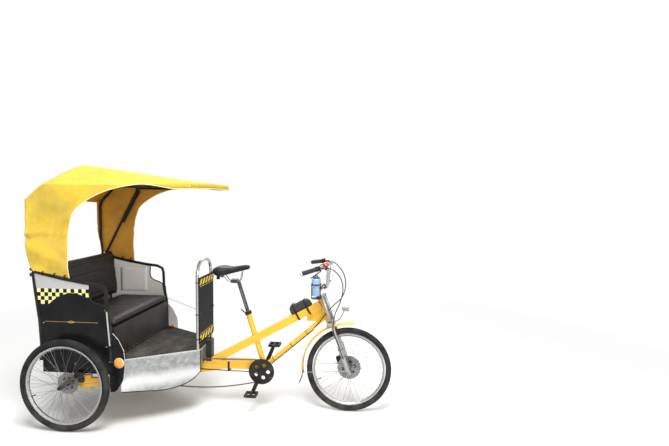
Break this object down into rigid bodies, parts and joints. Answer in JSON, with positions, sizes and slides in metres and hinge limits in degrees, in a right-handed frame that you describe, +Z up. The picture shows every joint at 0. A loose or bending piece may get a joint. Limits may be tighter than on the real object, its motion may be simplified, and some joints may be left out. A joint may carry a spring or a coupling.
{
  "type": "cycle rickshaw",
  "caption": "Three-wheeled cycle rickshaw: a passenger cab under a folding fabric hood on two rear wire wheels, pedalled from a saddle behind a steered front wheel.",
  "frame": {"origin": "on the ground, midway between the front axle and the rear axle", "axes": "+X forward, +Y towards the vehicle's left, +Z up"},
  "size_m": [2.668, 1.1646, 1.924],
  "materials": {
    "yellow_paint": "gloss",
    "black_paint": "gloss",
    "chrome": "polished",
    "bare_steel": "satin",
    "aluminium": "satin",
    "tyre": "matt",
    "grip_rubber": "matt",
    "black_plastic": "matt",
    "amber_plastic": "gloss",
    "blue_plastic": "gloss",
    "seat_leather": "satin",
    "saddle_leather": "satin",
    "hood_fabric": "matt",
    "bag_fabric": "matt",
    "panel_wood": "painted"
  },
  "bodies": {
    "chassis": {"main_tube": "yellow_paint", "seat_tube": "yellow_paint", "down_tube": "yellow_paint", "head_tube": "yellow_paint", "spine_beam": "yellow_paint", "axle_carrier": "yellow_paint", "seat_collar": "black_paint", "rear_axle": "bare_steel", "chain": "bare_steel", "rail_right": "black_paint", "rail_left": "black_paint", "crossbar": "black_paint", "side_panel_right": "panel_wood", "side_panel_left": "panel_wood", "marker_lamp_right": "amber_plastic", "marker_lamp_left": "amber_plastic", "back_panel": "aluminium", "seat_box": "panel_wood", "seat_cushion": "seat_leather", "backrest": "seat_leather", "floor_deck": "panel_wood", "skirt": "aluminium", "deck_bracket": "black_paint", "hoop": "chrome", "hoop_board": "panel_wood", "hood": "hood_fabric", "main_bow": "black_paint", "rear_bow": "black_paint", "visor_frame": "black_paint", "tube_bag": "bag_fabric"},
    "saddle_post": {"seat_post": "black_paint", "saddle_rails": "bare_steel", "saddle": "saddle_leather"},
    "steering": {"fork": "aluminium", "stem": "bare_steel", "handlebar": "chrome", "grip_right": "grip_rubber", "grip_left": "grip_rubber", "brake_lever_right": "black_plastic", "brake_lever_left": "black_plastic", "front_fender": "yellow_paint", "headlamp": "aluminium", "bottle": "blue_plastic", "bottle_cage": "black_plastic"},
    "front_wheel_set": {"front_tyre": "tyre", "front_wheel": "aluminium"},
    "rear_wheel_set_right": {"rear_tyre_right": "tyre", "rear_wheel_right": "aluminium"},
    "rear_wheel_set_left": {"rear_tyre_left": "tyre", "rear_wheel_left": "aluminium"},
    "crank": {"crankset": "black_paint"},
    "right_pedal": {"pedal_right": "black_plastic"},
    "left_pedal": {"pedal_left": "black_plastic"}
  },
  "joints": [
    {"name": "steering_turn", "type": "hinge", "parent": "chassis", "child": "steering", "pos_m": [0.832, 0, 0.715], "axis": [-0.3363, 0, 0.9418], "range_deg": [-50, 50]},
    {"name": "front_wheel_spin", "type": "hinge", "parent": "steering", "child": "front_wheel_set", "pos_m": [1, 0, 0.334], "axis": [0, 1, 0], "continuous": true},
    {"name": "rear_wheel_right_spin", "type": "hinge", "parent": "chassis", "child": "rear_wheel_set_right", "pos_m": [-1, -0.53, 0.334], "axis": [0, 1, 0], "continuous": true},
    {"name": "rear_wheel_left_spin", "type": "hinge", "parent": "chassis", "child": "rear_wheel_set_left", "pos_m": [-1, 0.53, 0.334], "axis": [0, 1, 0], "continuous": true},
    {"name": "crank_spin", "type": "hinge", "parent": "chassis", "child": "crank", "pos_m": [0.314, 0, 0.31], "axis": [0, 1, 0], "continuous": true},
    {"name": "pedal_right_spin", "type": "hinge", "parent": "crank", "child": "right_pedal", "pos_m": [0.24894, -0.094, 0.15294], "axis": [0, 1, 0], "continuous": true},
    {"name": "pedal_left_spin", "type": "hinge", "parent": "crank", "child": "left_pedal", "pos_m": [0.37906, 0.094, 0.46706], "axis": [0, 1, 0], "continuous": true},
    {"name": "saddle_height", "type": "slide", "parent": "chassis", "child": "saddle_post", "axis": [-0.299, 0, 0.9542], "range_m": [-0.05, 0.1]}
  ]
}
